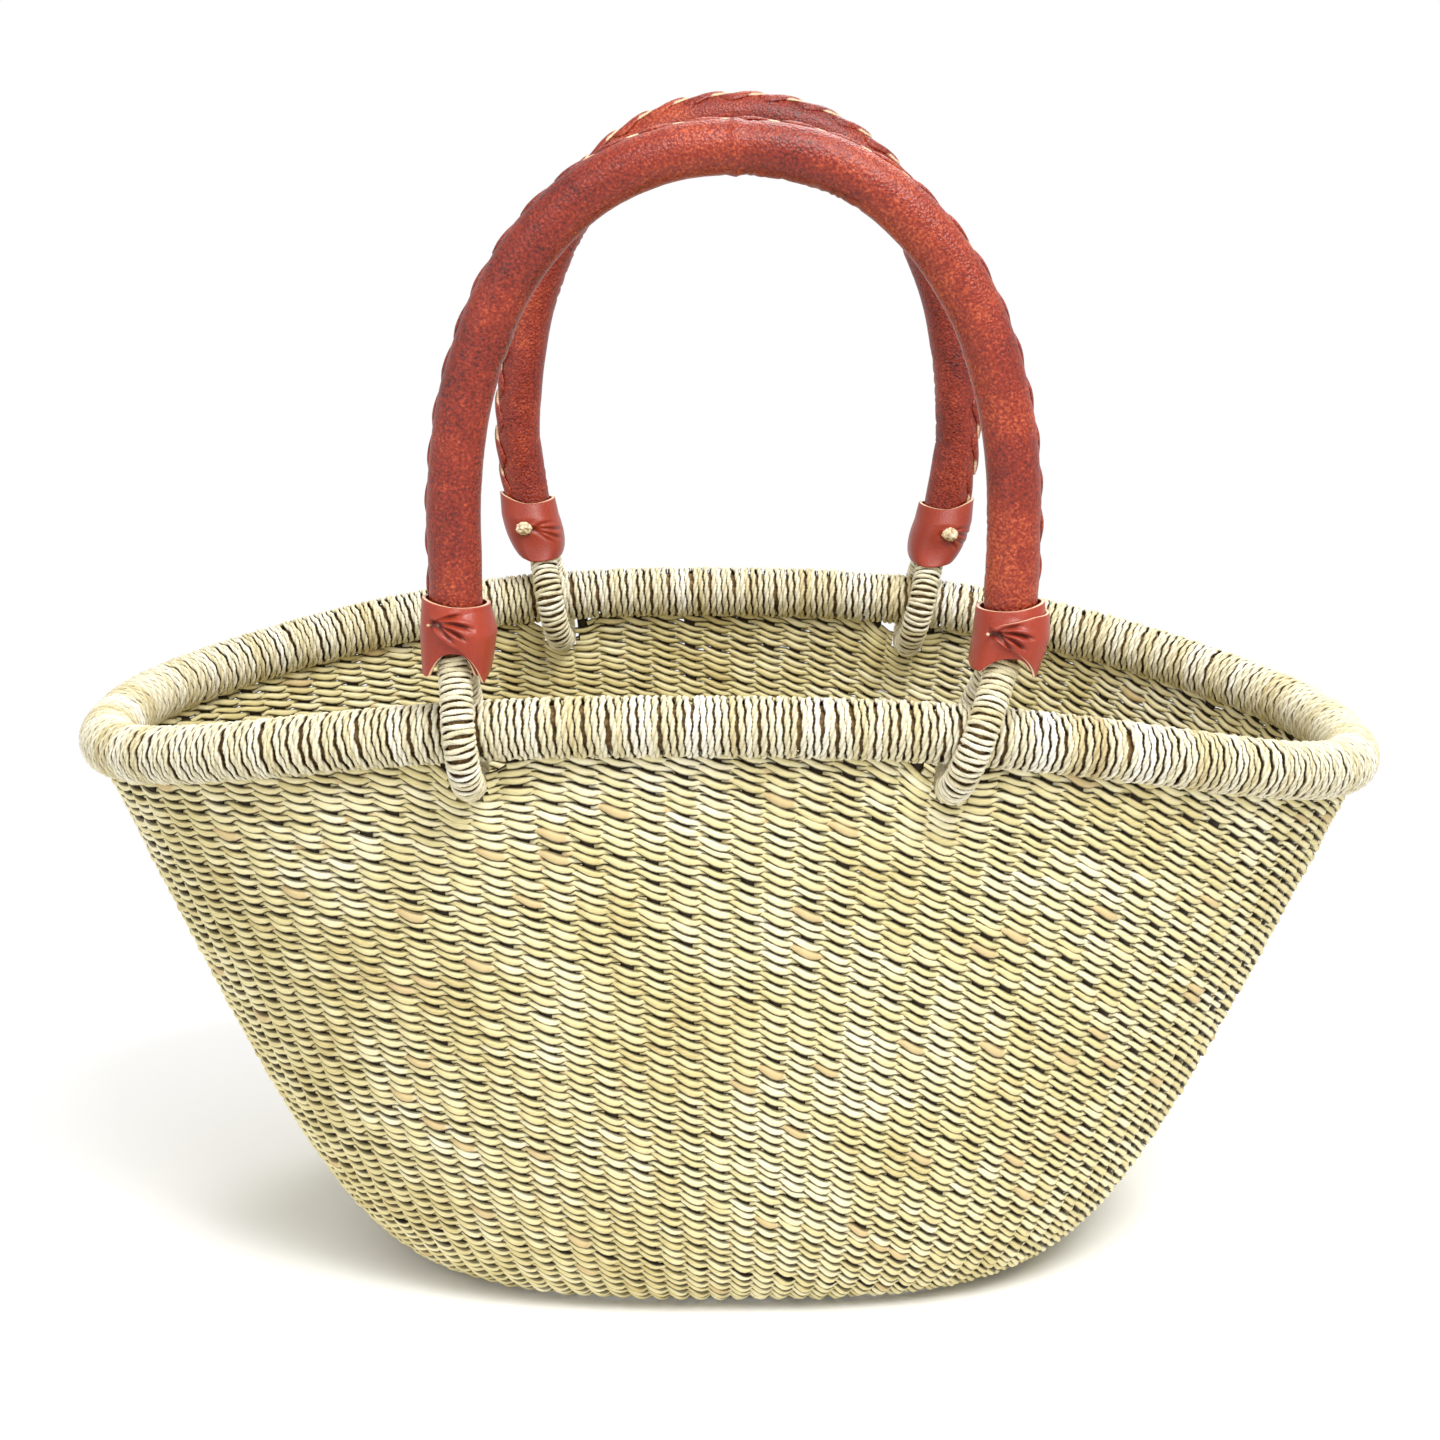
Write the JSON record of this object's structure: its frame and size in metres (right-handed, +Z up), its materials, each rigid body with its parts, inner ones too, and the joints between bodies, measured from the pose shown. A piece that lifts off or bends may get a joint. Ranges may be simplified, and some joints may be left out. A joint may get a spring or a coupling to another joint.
{
  "type": "woven market basket",
  "caption": "Oval twined-grass shopping basket with flared ends, a cord-bound saddle-shaped rim and two upright leather-sleeved arch handles on rope loops.",
  "frame": {"origin": "middle of the base's underside, on the surface the basket stands on", "axes": "+X along the basket's length, +Y across it from the front handle to the back handle, +Z up"},
  "size_m": [0.4276, 0.26, 0.3769],
  "materials": {
    "twined_grass": "satin natural straw, two-strand twined",
    "grass_cord_binding": "satin twisted grass cord, close wound",
    "grass_bundle_core": "matt bundled grass stalks",
    "handle_leather": "glazed vegetable-tanned goatskin, oxblood",
    "cuff_leather": "smooth vegetable-tanned leather, orange brown",
    "rawhide": "pale dried rawhide"
  },
  "bodies": {
    "basket": {"woven_base": "twined_grass", "woven_wall": "twined_grass", "rim_core": "grass_bundle_core", "rim_binding": "grass_cord_binding"},
    "front_handle": {"front_handle_core": "grass_bundle_core", "front_handle_sleeve": "handle_leather", "front_handle_lacing": "handle_leather", "front_left_loop_core": "grass_bundle_core", "front_left_loop_binding": "grass_cord_binding", "front_left_cuff": "cuff_leather", "front_left_cuff_tie": "rawhide", "front_right_loop_core": "grass_bundle_core", "front_right_loop_binding": "grass_cord_binding", "front_right_cuff": "cuff_leather", "front_right_cuff_tie": "rawhide"},
    "back_handle": {"back_handle_core": "grass_bundle_core", "back_handle_sleeve": "handle_leather", "back_handle_lacing": "handle_leather", "back_left_loop_core": "grass_bundle_core", "back_left_loop_binding": "grass_cord_binding", "back_left_cuff": "cuff_leather", "back_left_cuff_tie": "rawhide", "back_right_loop_core": "grass_bundle_core", "back_right_loop_binding": "grass_cord_binding", "back_right_cuff": "cuff_leather", "back_right_cuff_tie": "rawhide"}
  },
  "joints": [
    {"name": "front_handle_turn", "type": "hinge", "parent": "basket", "child": "front_handle", "pos_m": [-0.00375, -0.10847, 0.1906], "axis": [1, -0.0061, -0.0059], "range_deg": [-34.5, 120]},
    {"name": "back_handle_turn", "type": "hinge", "parent": "basket", "child": "back_handle", "pos_m": [0.00255, 0.10929, 0.19117], "axis": [-0.9999, 0.0039, 0.0137], "range_deg": [-34, 120]}
  ]
}
